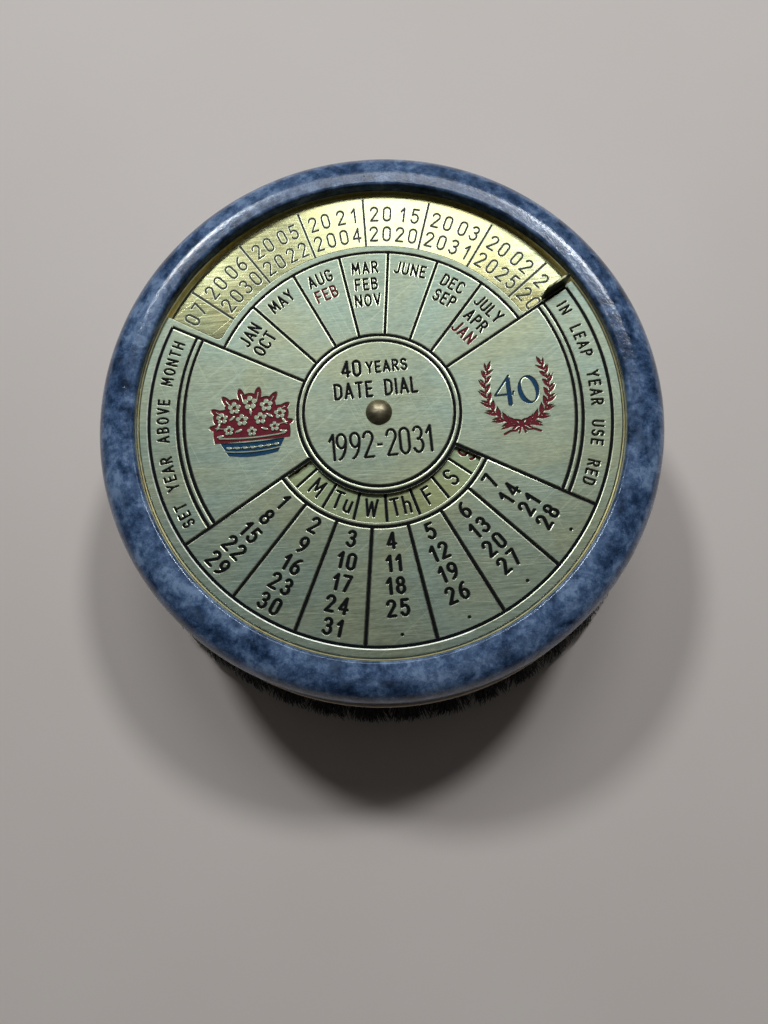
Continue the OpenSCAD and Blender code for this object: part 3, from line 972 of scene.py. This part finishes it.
def right_emblem(layer):
    """A wreath round the number of years."""
    cx, cy = 0.5776 * R, 0.0
    stem = np.array([(-0.012, -0.111), (-0.045, -0.104), (-0.080, -0.082), (-0.106, -0.052), (-0.124, -0.014),
                     (-0.132, 0.028), (-0.131, 0.070), (-0.122, 0.108), (-0.112, 0.132)]) * R
    for side in (1, -1):
        pts = stem * (side, 1) + (cx, cy)
        n = len(pts)
        # the stem, tapering
        for i in range(n - 1):
            layer.bar(pts[i], pts[i + 1], 0.26 - 0.015 * i, "R", 0.03)
        for i in range(1, n):
            d = pts[i] - pts[i - 1]
            ang = math.degrees(math.atan2(d[1], d[0]))
            base = pts[i - 1] * 0.4 + pts[i] * 0.6
            mid = pts[i - 1] * 0.9 + pts[i] * 0.1
            k = 1 - 0.035 * i
            for s, b in ((1, base), (-1, mid)):
                layer.shape("R", lambda g, b=b, s=s: leaf(b[0], b[1], ang + s * 31 * side, 2.05 * k, 0.27 * k, grow=g))
            layer.shape("R", lambda g: leaf(mid[0], mid[1], ang + 52 * side, 1.35 * k, 0.19 * k, grow=g))
            layer.shape("R", lambda g: leaf(base[0], base[1], ang - 50 * side, 1.45 * k, 0.19 * k, grow=g))
        layer.shape("R", lambda g: leaf(pts[-1][0], pts[-1][1], math.degrees(math.atan2(*(pts[-1] - pts[-2])[::-1])), 1.5, 0.24, grow=g))

    # bow
    def bow(X, Y):
        x, y = np.abs(X - cx), Y - cy + 0.112 * R
        knot = np.hypot(x, y) - 0.42
        loop = np.abs(np.hypot((x - 0.95) / 1.0, (y - 0.28) / 0.55) * 0.55 - 0.45) - 0.13
        tail = strokes_sdf(x, y, [[(0.15, -0.2), (0.8, -0.85), (1.7, -0.85), (2.6, -1.25)], [(0.15, -0.2), (0.45, -1.2)]], 0.14)
        return np.minimum(np.minimum(knot, loop), tail)

    layer.field("R", bow, (cx - 3.2, cy - 6.2, cx + 3.2, cy - 2.4), 0.035, 0.008)

    # contrasted numerals
    def four(X, Y):
        x, y = (X - cx) / R, (Y - cy) / R
        stem_l = strokes_sdf(x, y, [[(-0.0345, -0.022), (-0.0345, 0.085)]], 0.0088)
        stem_l = np.maximum(stem_l, y - 0.098)
        stem_l = np.maximum(stem_l, -(y + 0.029))
        diag = strokes_sdf(x, y, [[(-0.030, 0.100), (-0.093, 0.0205)]], 0.0036)
        bar_ = strokes_sdf(x, y, [[(-0.093, 0.0205), (-0.020, 0.0195), (-0.0165, 0.029)]], 0.0038)
        return np.minimum(np.minimum(stem_l, diag), bar_) * R

    def nought(X, Y):
        x, y = (X - cx) / R - 0.046, (Y - cy) / R - 0.0325
        out = (np.hypot(x / 0.0435, y / 0.0605) - 1) * 0.0435
        a = math.radians(14)
        u, v = x * math.cos(a) + y * math.sin(a), -x * math.sin(a) + y * math.cos(a)
        inn = (np.hypot(u / 0.0265, v / 0.0545) - 1) * 0.0265
        return np.maximum(out, -inn) * R

    layer.field("B", four, (cx - 4.0, cy - 1.6, cx - 0.2, cy + 4.2), 0.035, 0.006)
    layer.field("B", nought, (cx - 0.6, cy - 1.6, cx + 3.8, cy + 4.2), 0.035, 0.006)


def face_layer():
    L = Layer(0.085, 0.13)
    T = 0.0128 * R
    L.ring(0.3370 * R, T)
    L.ring(0.3125 * R, T)
    # sector boundaries
    for a in (151.0, 29.0):
        L.bar(polar(0.337 * R, a), polar(0.957 * R, a), T * 0.95)
    for a, s in ((210.0, -1), (330.0, 1)):
        off = np.array(polar(0.16, a + s * 90))
        L.bar(np.array(polar(0.337 * R, a)) + off, np.array(polar(0.957 * R, a)) + off, T)
    # month dividers and arc
    for ai, ao in ((44.9, 46.9), (62.2, 64.0), (80.4, 81.4), (98.6, 98.5), (116.7, 115.6), (135.1, 133.3)):
        L.bar(polar(0.337 * R, ai), polar(0.713 * R, ao), T * 0.95)
    L.sector(0.713 * R, T, 29.0, 151.0)
    # side panels
    for a0, a1 in ((151.0, 210.0), (-30.0, 29.0)):
        L.sector(0.8105 * R, T, a0, a1)
        L.sector(0.8375 * R, T, a0, a1)
    # outer line, all round but the year window; from 151° to 288° its wider outer bevel uses slot 6, the brass with a
    # painted highlight
    L.sector(0.956 * R, T, 151.0, 288.0, outer=0.15, inner=0.06, side=6)
    L.sector(0.956 * R, T, 288.0, 389.0, outer=0.09, inner=0.06)
    # dates
    L.sector(0.4805 * R, T, 210, 330)
    for k in range(1, 7):
        a = 210 + 120 / 7 * k
        L.bar(polar(0.481 * R, a), polar(0.957 * R, a), T)
    for c in range(7):
        a = 210 + 120 / 7 * (c + 0.5)
        up = (-math.cos(math.radians(a)), -math.sin(math.radians(a)))
        for row in range(5):
            n = c + 1 + 7 * row
            if n > 31:
                continue
            r = (0.5385, 0.6300, 0.7195, 0.8075, 0.8965)[row] * R
            x, y = polar(r, a)
            L.straight(str(n), x, y, up, 0.0715 * R, 0.0118 * R, 0.0265 * R)
        if c > 2:
            x, y = polar(0.912 * R, a + 0.4)
            L.dot(x, y, 0.0062 * R)
    # months
    months = [(["JAN", "OCT"], "KK"), (["MAY"], "K"), (["AUG", "FEB"], "KR"), (["MAR", "FEB", "NOV"], "KKK"),
              (["JUNE"], "K"), (["DEC", "SEP"], "KK"), (["JULY", "APR", "JAN"], "KKR")]
    mids = [(142.4, 142.4), (124.7, 124.9), (107.6, 107.6), (90.0, 90.0), (72.6, 72.4), (55.4, 55.2), (38.6, 38.6)]
    for (names, inks), (a, _b) in zip(months, mids):
        up = (math.cos(math.radians(a)), math.sin(math.radians(a)))
        for row, (w, ink) in enumerate(zip(names, inks)):
            x, y = polar((0.6440, 0.5690, 0.4955)[row] * R, a)
            L.straight(w, x, y, up, 0.0575 * R, 0.0092 * R, 0.0160 * R, "K" if ink == "K" else "R", xs=1.0)
    # side instructions
    L.on_arc("SET YEAR ABOVE MONTH", 0.8985 * R, 180.3, 0.0520 * R, 0.0082 * R, 0.0194 * R, xs=1.02, space=0.030 * R)
    L.on_arc("IN LEAP YEAR USE RED", 0.8985 * R, 0.2, 0.0520 * R, 0.0082 * R, 0.0199 * R, xs=1.04, space=0.032 * R)
    # middle
    L.straight("YEARS", 0.050 * R, 0.1960 * R, (0, 1), 0.0540 * R, 0.0092 * R, 0.0150 * R, xs=1.05)
    L.straight("40", -0.0985 * R, 0.1985 * R, (0, 1), 0.0745 * R, 0.0118 * R, 0.0170 * R, xs=0.95)
    L.straight("DATE DIAL", -0.004 * R, 0.1030 * R, (0, 1), 0.0725 * R, 0.0106 * R, 0.0178 * R, xs=0.90, space=0.022 * R)
    for ch, x in zip("1992-2031", (-0.2065, -0.166, -0.110, -0.0555, -0.0095, 0.0400, 0.0935, 0.1490, 0.1935)):
        if ch == "-":
            L.bar((x * R - 0.40, -0.1385 * R), (x * R + 0.40, -0.1385 * R), 0.0095 * R)
        else:
            L.glyph(ch, x * R - 0.0, -0.1325 * R, (0, 1), 0.1170 * R, 0.0102 * R, "K", 0.74)
    left_emblem(L)
    right_emblem(L)
    return L


face = relief_plate("face_plate_engraved", face_sdf, 35.6, face_layer(), PLATE_Z0, PLATE_Z1, 0.22, 0.14, 0.045, 0.046, UX,
                    [M_FACE, M_BLACK, M_RED, M_BLUE, M_EDGE, M_LIP, M_LIP_HIGHLIGHT])
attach(face, "base")
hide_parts("face_plate")


# ---------------------------------------------------------------- year disc
YEARS = {0: (2002, 2025), 1: (2003, 2031), 2: (2015, 2020), 3: (2021, 2004), 4: (2005, 2022), 5: (2006, 2030),
         6: (2007, None), 7: (2013, 2019), 8: (2008, 2014), 9: (1998, 2026), 10: (1993, 2010), 11: (1994, 2011),
         12: (1995, 2017), 13: (2012, 2018), 14: (1996, 2024), 15: (1997, 2028), 16: (1992, 2009), 17: (1999, 2027),
         18: (2016, None), 19: (2000, 2023), 20: (2001, 2029)}
TAB_W, TAB_R1 = 4.6, DISC_R - 0.1
TAB_R0 = TAB_R1 - TAB_W


def tab_frame(X, Y):
    a = math.radians(TAB_A)
    return X * math.cos(a) + Y * math.sin(a), -X * math.sin(a) + Y * math.cos(a)


def disc_sdf(X, Y):
    rho = np.hypot(X, Y)
    u, v = tab_frame(X, Y)
    notch = np.maximum(np.maximum(TAB_R0 - 0.2 - u, v - 0.1), -3.3 - v)
    # the metal between the notch and the fold belongs to the tab
    fold = np.maximum(np.maximum(TAB_R0 - u, v - 0.95), -v)
    return np.maximum(np.maximum(rho - DISC_R, 2.55 - rho), -np.minimum(notch, fold))


def disc_layer():
    L = Layer(0.07, 0.08)
    p = 360 / 21
    T = 0.0105 * R
    for k in range(21):
        a = 37.4 + p * k
        L.bar(polar(0.752 * R, a), polar(0.975 * R, a), T * 0.9)
        mid = a + p / 2
        top, low = YEARS[k]
        for y, r, offs in ((top, 0.9035, (-5.70, -2.15, 2.15, 5.65)), (low, 0.8095, (-5.95, -2.0, 2.0, 5.95))):
            if y is None:
                continue
            for ch, o in zip(str(y), offs):
                phi = math.radians(mid - o)
                if abs(math.degrees(phi) % 360 - TAB_A) < 2.3 and r > 0.86:
                    continue
                L.glyph(ch, r * R * math.cos(phi), r * R * math.sin(phi), (math.cos(phi), math.sin(phi)),
                        0.0710 * R, 0.0082 * R, "K", 1.02)
    for k in range(21):
        a = 217.3 + p * k
        L.bar(polar(0.335 * R, a), polar(0.466 * R, a), 0.0115 * R, "B")
        mid = a + p / 2
        word = ("M", "Tu", "W", "Th", "F", "S", "S")[k % 7]
        phi = math.radians(mid)
        up = (-math.cos(phi), -math.sin(phi))
        x, y = 0.4005 * R * math.cos(phi), 0.4005 * R * math.sin(phi)
        gap = 0.020 * R
        L.straight(word, x, y, up, 0.0780 * R, 0.0102 * R, gap, "R" if k % 7 == 6 else "B", xs=1.02 if word != "W" else 0.9)
    return L


disc = relief_plate("year_disc_engraved", disc_sdf, 35.4, disc_layer(), DISC_Z0, DISC_Z1, 0.10, 0.11, 0.04, 0.03, UX,
                    [M_DISC, M_GREY, M_RED, M_BLACK, M_EDGE, M_LIP])


def make_tab():
    """The lug, folded up out of the disc's sheet, with the disc's own thickness round the bend."""
    t, ri, fold = 0.4, 0.45, 0.1
    # centre of the bend in (v, z): inner surface is on the +v side
    cv, cz = fold + t + ri, DISC_Z1 + ri
    mid = []  # (v, z, nv, nz) along the sheet's middle
    mid.append((cv, DISC_Z0 + t / 2, 0, 1))
    for i in range(1, 13):
        a = math.radians(270 - 90 * i / 12)
        mid.append((cv + (ri + t / 2) * math.cos(a), cz + (ri + t / 2) * math.sin(a), -math.cos(a), -math.sin(a)))
    ztop = DISC_Z1 + 3.1
    z_a = mid[-1][1]
    for i in range(1, 25):
        mid.append((fold + t / 2, z_a + (ztop - z_a) * i / 24, 1, 0))
    nx = 22
    crown = 1.0
    e = 0.10
    a = math.radians(TAB_A)
    ca, sa = math.cos(a), math.sin(a)
    verts, rows = [], []

    def put(u, v, z):
        verts.append((u * ca - v * sa + UX, u * sa + v * ca, z))
        return len(verts) - 1

    # rows of points round the section at each station
    for (v, z, nv, nz) in mid:
        k = z - (ztop - crown)
        inset = crown - math.sqrt(max(crown * crown - k * k, 0)) if k > 0 else 0.0
        u0, u1 = TAB_R0 + inset, TAB_R1 - inset
        # flat part follows the disc's round edge
        h = t / 2
        if k > crown - e:
            h = h - 0.06 * (k - (crown - e)) / e
        ring = []
        us = [u0 + (u1 - u0) * i / nx for i in range(nx + 1)]
        for j, u in enumerate(us):
            hh = h - (0.07 if j in (0, nx) else 0.0)
            ring.append(put(u, v + nv * hh, z + nz * hh))
        for j, u in reversed(list(enumerate(us))):
            hh = h - (0.07 if j in (0, nx) else 0.0)
            ring.append(put(u, v - nv * hh, z - nz * hh))
        rows.append(ring)
    faces = []
    n = len(rows[0])
    for A, B in zip(rows, rows[1:]):
        for k in range(n):
            k2 = (k + 1) % n
            faces.append((A[k], B[k], B[k2], A[k2]))
    faces.append(tuple(rows[0]))
    faces.append(tuple(reversed(rows[-1])))
    # the tab takes the darker brass, which is painted shade on the disc's sheet
    o = new_object("thumb_tab", np.array(verts) * MM, faces, [M_TAB_SHADED], None, True)
    o.data.set_sharp_from_angle(angle=math.radians(50))
    return o


tab = make_tab()
for o in (disc, tab):
    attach(o, "disc")
    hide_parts("year_disc")


# ---------------------------------------------------------------- rivet
def rivet():
    rs = (1.95 ** 2 + 1.15 ** 2) / (2 * 1.15)
    z0 = PLATE_Z1
    prof = [(0.0, 26.05), (1.60, 26.05), (1.75, 26.2), (1.75, 26.5), (1.62, 26.6), (1.0, 26.6), (1.0, z0), (1.80, z0), (1.92, z0 + 0.03)]
    amax = math.asin(1.95 / rs)
    for i in range(1, 25):
        a = amax * (1 - i / 24) * 0.985
        prof.append((rs * math.sin(a), z0 + 1.15 - rs + rs * math.cos(a)))
    prof[-1] = (0.0, z0 + 1.15)

    def wob(r, z, a):
        if z <= z0 + 0.05:
            return r, z
        return r * (1 + 0.006 * math.sin(3 * a + 1) + 0.004 * math.sin(7 * a)), z + 0.012 * math.sin(5 * a + r * 3) * min(1, r)

    return lathe("rivet_head", prof, 96, [M_RIVET], UX, 45, wob)


riv = rivet()
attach(riv, "base")
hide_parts("centre_rivet")


# ---------------------------------------------------------------- stone
def stone():
    r, top, z0 = 41.55, STONE_Z1, STONE_Z0
    er, fr, lr, cr, tight = 3.6, 1.2, 0.5, 7.5, 3.5
    rec, fl = 35.5, top - 3.6
    crest, cx = rec + lr + 1.3, r - er
    turn = math.radians(12)
    ox, oz = crest + (tight - cr) * math.sin(turn), top - tight + (tight - cr) * math.cos(turn)
    cz = oz + math.sqrt((cr - er) ** 2 - (cx - ox) ** 2)
    p = [(0.0, z0)]
    p += [(x, z0) for x in (10, 20, 30, 38)]
    for i in range(9):
        a = math.radians(-90 + 90 * i / 8)
        p.append((r - fr + fr * math.cos(a), z0 + fr + fr * math.sin(a)))
    p += [(r, z) for z in (19.5, 21.5, 23.5, 25.2)]
    # rounded edge, then the shallow crown, and a tighter curve over the crest
    tilt = math.atan2(cx - ox, cz - oz)
    for i in range(21):
        a = (math.pi / 2 - tilt) * i / 20
        p.append((cx + er * math.cos(a), cz + er * math.sin(a)))
    for i in range(1, 5):
        a = math.pi / 2 - tilt - (turn - tilt) * i / 4
        p.append((ox + cr * math.cos(a), oz + cr * math.sin(a)))
    for i in range(1, 7):
        a = math.pi / 2 - turn * (1 - i / 6)
        p.append((crest + tight * math.cos(a), top - tight + tight * math.sin(a)))
    p += [(rec + lr + 0.85, top - 0.022), (rec + lr + 0.4, top - 0.046)]
    for i in range(17):
        a = math.radians(90 + 90 * i / 16)
        p.append((rec + lr + lr * math.cos(a), top - 0.07 - lr + lr * math.sin(a)))
    p += [(rec, z) for z in (28.6, 27.6)]
    p += [(rec, fl + 0.12), (rec - 0.12, fl), (30, fl), (20, fl), (10, fl), (4.5, fl), (4.5, fl - 1.2), (0.0, fl - 1.2)]
    # hand-finished: the edge is not quite true
    amp = [(2, 0.045, 0.4), (3, 0.030, 1.7), (5, 0.014, 0.9), (9, 0.006, 2.2), (17, 0.004, 1.1)]

    def wob(rr, zz, a):
        if rr < rec + 0.03 or zz < z0 + 0.01:
            return rr, zz
        w = sum(k * math.sin(n * a + f + zz * 0.05) for n, k, f in amp)
        k = min(1, (rr - rec) / 2)
        return rr + w * k * 0.9 - 0.04 * k, zz + (0.5 * (w - 0.06) * k if zz > top - er else 0)

    return lathe("stone_puck", p, 420, [M_STONE], 0.0, 50, wob)


puck = stone()
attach(puck, "base")
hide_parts("marble_body")


# ---------------------------------------------------------------- brush board
def board():
    e = 0.5
    seg = 300
    side = []
    for i in range(7):
        a = math.radians(-90 + 90 * i / 6)
        side.append((BOARD_R - e + e * math.cos(a), BOARD_Z0 + e + e * math.sin(a)))
    for i in range(7):
        a = math.radians(90 * i / 6)
        side.append((BOARD_R - e + e * math.cos(a), BOARD_Z1 - e + e * math.sin(a)))
    verts, faces = [], []
    rings = []
    for r, z in side:
        rings.append(list(range(len(verts), len(verts) + seg)))
        for k in range(seg):
            a = 2 * math.pi * k / seg
            verts.append((r * math.cos(a), r * math.sin(a), z))
    for A, B in zip(rings, rings[1:]):
        for k in range(seg):
            k2 = (k + 1) % seg
            faces.append((A[k], A[k2], B[k2], B[k]))
    faces.append(tuple(rings[-1]))
    # underside with its drilled holes
    loops = [[verts[i][:2] for i in rings[0]]]
    owner = [rings[0]]
    holes = []
    for r, n, _lean in RINGS:
        for i in range(n):
            a = 2 * math.pi * i / n
            holes.append((r * math.cos(a), r * math.sin(a)))
    m = 20
    for hx, hy in holes:
        low, up = [], []
        for k in range(m):
            a = 2 * math.pi * k / m
            low.append(len(verts))
            verts.append((hx + 1.7 * math.cos(a), hy + 1.7 * math.sin(a), BOARD_Z0))
        for k in range(m):
            x, y, _ = verts[low[k]]
            up.append(len(verts))
            verts.append((x, y, BOARD_Z0 + 3.2))
        for k in range(m):
            k2 = (k + 1) % m
            faces.append((low[k2], low[k], up[k], up[k2]))
        faces.append(tuple(reversed(up)))
        owner.append(low)
        loops.append([verts[i][:2] for i in low])
    pts, fin, ids = [], [], []
    for lp, own in zip(loops, owner):
        fin.append(list(range(len(pts), len(pts) + len(lp))))
        pts += [Vector(p) for p in lp]
        ids += own
    v2, _, tris, ov, _, of = delaunay_2d_cdt(pts, [], fin, 0, 1e-6, True)
    for t, f in zip(tris, of):
        if 0 in f and len(f) == 1 and all(ov[k] for k in t):
            q = [ids[ov[k][0]] for k in t]
            a, b, c = (v2[k] for k in t)
            if (b.x - a.x) * (c.y - a.y) - (b.y - a.y) * (c.x - a.x) > 0:
                q = q[::-1]
            faces.append(tuple(q))
    o = new_object("brush_board_turned", np.array(verts) * MM, faces, [M_BOARD], None, True)
    o.data.set_sharp_from_angle(angle=math.radians(40))
    return o


brd = board()
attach(brd, "base")
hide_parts("brush_board")


# ---------------------------------------------------------------- bristles
def bristles():
    """Short fibres, glued into their holes in bundles and spread into one dense pile at the tips."""
    sides, steps = 3, 5
    all_v, all_f, off = [], [], 0
    for ri, (r, n, lean) in enumerate(RINGS):
        rank = len(RINGS) - 1 - ri
        count = (290, 110, 36, 30, 30, 30, 30)[rank]
        for i in range(n):
            a0 = 2 * math.pi * i / n
            deg = math.degrees(a0) % 360
            c0, s0 = math.cos(a0), math.sin(a0)
            front = max(0.0, math.cos(math.radians(deg - 262)))
            m = count
            rr = 1.5 * np.sqrt(rng.random(m))
            aa = 2 * math.pi * rng.random(m)
            # along the radius and across it
            e, w = rr * np.cos(aa), rr * np.sin(aa)
            if rank == 0:
                # the spread fills the gaps to the next tufts
                te = e * 1.0 + 0.8 + (5.8 + 0.3 * front) * rng.random(m) ** 0.6 + rng.normal(0, 0.2, m)
                tw = w * 1.35 + rng.uniform(-2.6, 2.6, m)
            elif rank == 1:
                te = e * 1.5 + 1.5 * rng.random(m) + rng.normal(0, 0.3, m)
                tw = w * 1.4 + rng.uniform(-2.0, 2.0, m)
            else:
                te = e * 1.5 + rng.normal(0, 0.45, m)
                tw = w * 1.5 + rng.normal(0, 0.45, m)
            root_x, root_y = (r + e) * c0 - w * s0, (r + e) * s0 + w * c0
            tip_x, tip_y = (r + te) * c0 - tw * s0, (r + te) * s0 + tw * c0
            q = np.hypot(tip_x, tip_y)
            lim = 45.95 + 0.35 * front + rng.normal(0, 0.10, m) - 1.1 * rng.random(m) ** 2
            k = np.minimum(1.0, lim / np.maximum(q, 1e-6))
            tip_x, tip_y = tip_x * k, tip_y * k
            tip_z = np.where(rng.random(m) < 0.80, np.abs(rng.normal(0, 0.10, m)), 0.25 + 2.2 * rng.random(m) ** 2) + 0.02
            rad = (0.072 if rank == 0 else (0.080 if rank == 1 else 0.115)) * (0.8 + 0.4 * rng.random(m))
            P = np.zeros((m, steps + 1, 3))
            P[:, 0] = np.stack([root_x, root_y, np.full(m, BOARD_Z0 + 2.6)], 1)
            mouth = np.stack([root_x, root_y, np.full(m, BOARD_Z0)], 1)
            tip = np.stack([tip_x, tip_y, tip_z], 1)
            d = tip - mouth
            bow = np.stack([d[:, 0] * 0.16 + rng.normal(0, 0.16, m), d[:, 1] * 0.16 + rng.normal(0, 0.16, m), np.zeros(m)], 1)
            for s in range(steps):
                u = s / (steps - 1)
                P[:, s + 1] = mouth + d * u + bow * math.sin(math.pi * u)
            ph = rng.random(m) * 2.1
            an = ph[:, None] + 2 * math.pi * np.arange(sides)[None, :] / sides
            wid = np.ones(steps + 1)
            wid[-2:] = (0.9, 0.5)
            V = P[:, :, None, :] + np.zeros((1, 1, sides, 3))
            V[..., 0] += (rad[:, None] * wid[None, :])[:, :, None] * np.cos(an)[:, None, :]
            V[..., 1] += (rad[:, None] * wid[None, :])[:, :, None] * np.sin(an)[:, None, :]
            all_v.append(V.reshape(-1, 3))
            per = (steps + 1) * sides
            for j in range(m):
                b0 = off + j * per
                all_f.append(tuple(b0 + c for c in range(sides)))
                for s in range(steps):
                    lo, hi = b0 + s * sides, b0 + (s + 1) * sides
                    for c in range(sides):
                        c2 = (c + 1) % sides
                        all_f.append((hi + c, hi + c2, lo + c2, lo + c))
                all_f.append(tuple(b0 + steps * sides + c for c in reversed(range(sides))))
            off += m * per
    return new_object("bristle_filaments", np.concatenate(all_v) * MM, all_f, [M_BRISTLE], None, True)


brs = bristles()
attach(brs, "base")
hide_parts("bristle_tufts")


# ---------------------------------------------------------------- inner CAD nodes
# the back plate takes the pan brass, whose pale colour is painted light
for name, mat in (("board_adhesive", M_GLUE), ("unit_adhesive", M_GLUE), ("back_plate", M_PAN_PAINTED_LIGHT), ("friction_washer", M_FIBRE),
                  ("spacer_bush", M_STEEL), ("rivet_washer", M_STEEL)):
    o = nodes[name]
    if not o.data.materials:
        o.data.materials.append(mat)
    for s in o.material_slots:
        s.material = mat


# ---------------------------------------------------------------- floor and light
def floor():
    m, nt, b = material("studio_floor")
    t = Tree(nt)
    n = t.noise(t.mapped((0.02, 0.02, 0.02)), 1.0, 4.0, 0.5)
    t.link(t.ramp(n, [(0.35, (0.88, 0.765, 0.685)), (0.65, (0.90, 0.79, 0.71))]), b.inputs["Base Color"])
    b.inputs["Roughness"].default_value = 0.55
    me = bpy.data.meshes.new("studio_floor")
    s = 3.0
    me.from_pydata([(-s, -s, -0.00005), (s, -s, -0.00005), (s, s, -0.00005), (-s, s, -0.00005)], [], [(0, 1, 2, 3)])
    me.materials.append(m)
    o = bpy.data.objects.new("studio_floor", me)
    bpy.context.scene.collection.objects.link(o)
    return o


floor()


def area_light(name, az, el, dist, size, power, color=(1, 1, 1)):
    """az is clockwise from the top of the dial."""
    li = bpy.data.lights.new(name, "AREA")
    li.shape = "DISK"
    li.size = size
    li.energy = power
    li.color = color
    o = bpy.data.objects.new(name, li)
    a, e = math.radians(az), math.radians(el)
    d = Vector((math.sin(a) * math.cos(e), math.cos(a) * math.cos(e), math.sin(e)))
    target = Vector((0, 0, 0.025))
    o.location = target + d * dist
    o.rotation_euler = (-d).to_track_quat("-Z", "Y").to_euler()
    bpy.context.scene.collection.objects.link(o)
    return o


area_light("key_left", -25.5, 48.5, 0.75, 0.10, 1.58, (0.87, 0.94, 1.0))
area_light("key_right", 33.6, 51, 0.75, 0.10, 1.52, (0.88, 0.94, 1.0))
area_light("window_glare", 6.5, 54.5, 0.95, 0.29, 0.95, (0.93, 0.96, 1.0))
area_light("top_fill", 4.6, 77, 1.1, 0.6, 0.15, (0.84, 0.92, 1.0))
area_light("room_fill", 162.0, 60, 1.1, 0.7, 0.18, (0.98, 0.98, 0.96))

world = bpy.data.worlds.new("studio")
world.use_nodes = True
bg = world.node_tree.nodes["Background"]
bg.inputs[0].default_value = (0.86, 0.88, 0.92, 1)
bg.inputs[1].default_value = 0.009
bpy.context.scene.world = world
bpy.context.scene.view_settings.view_transform = "Standard"
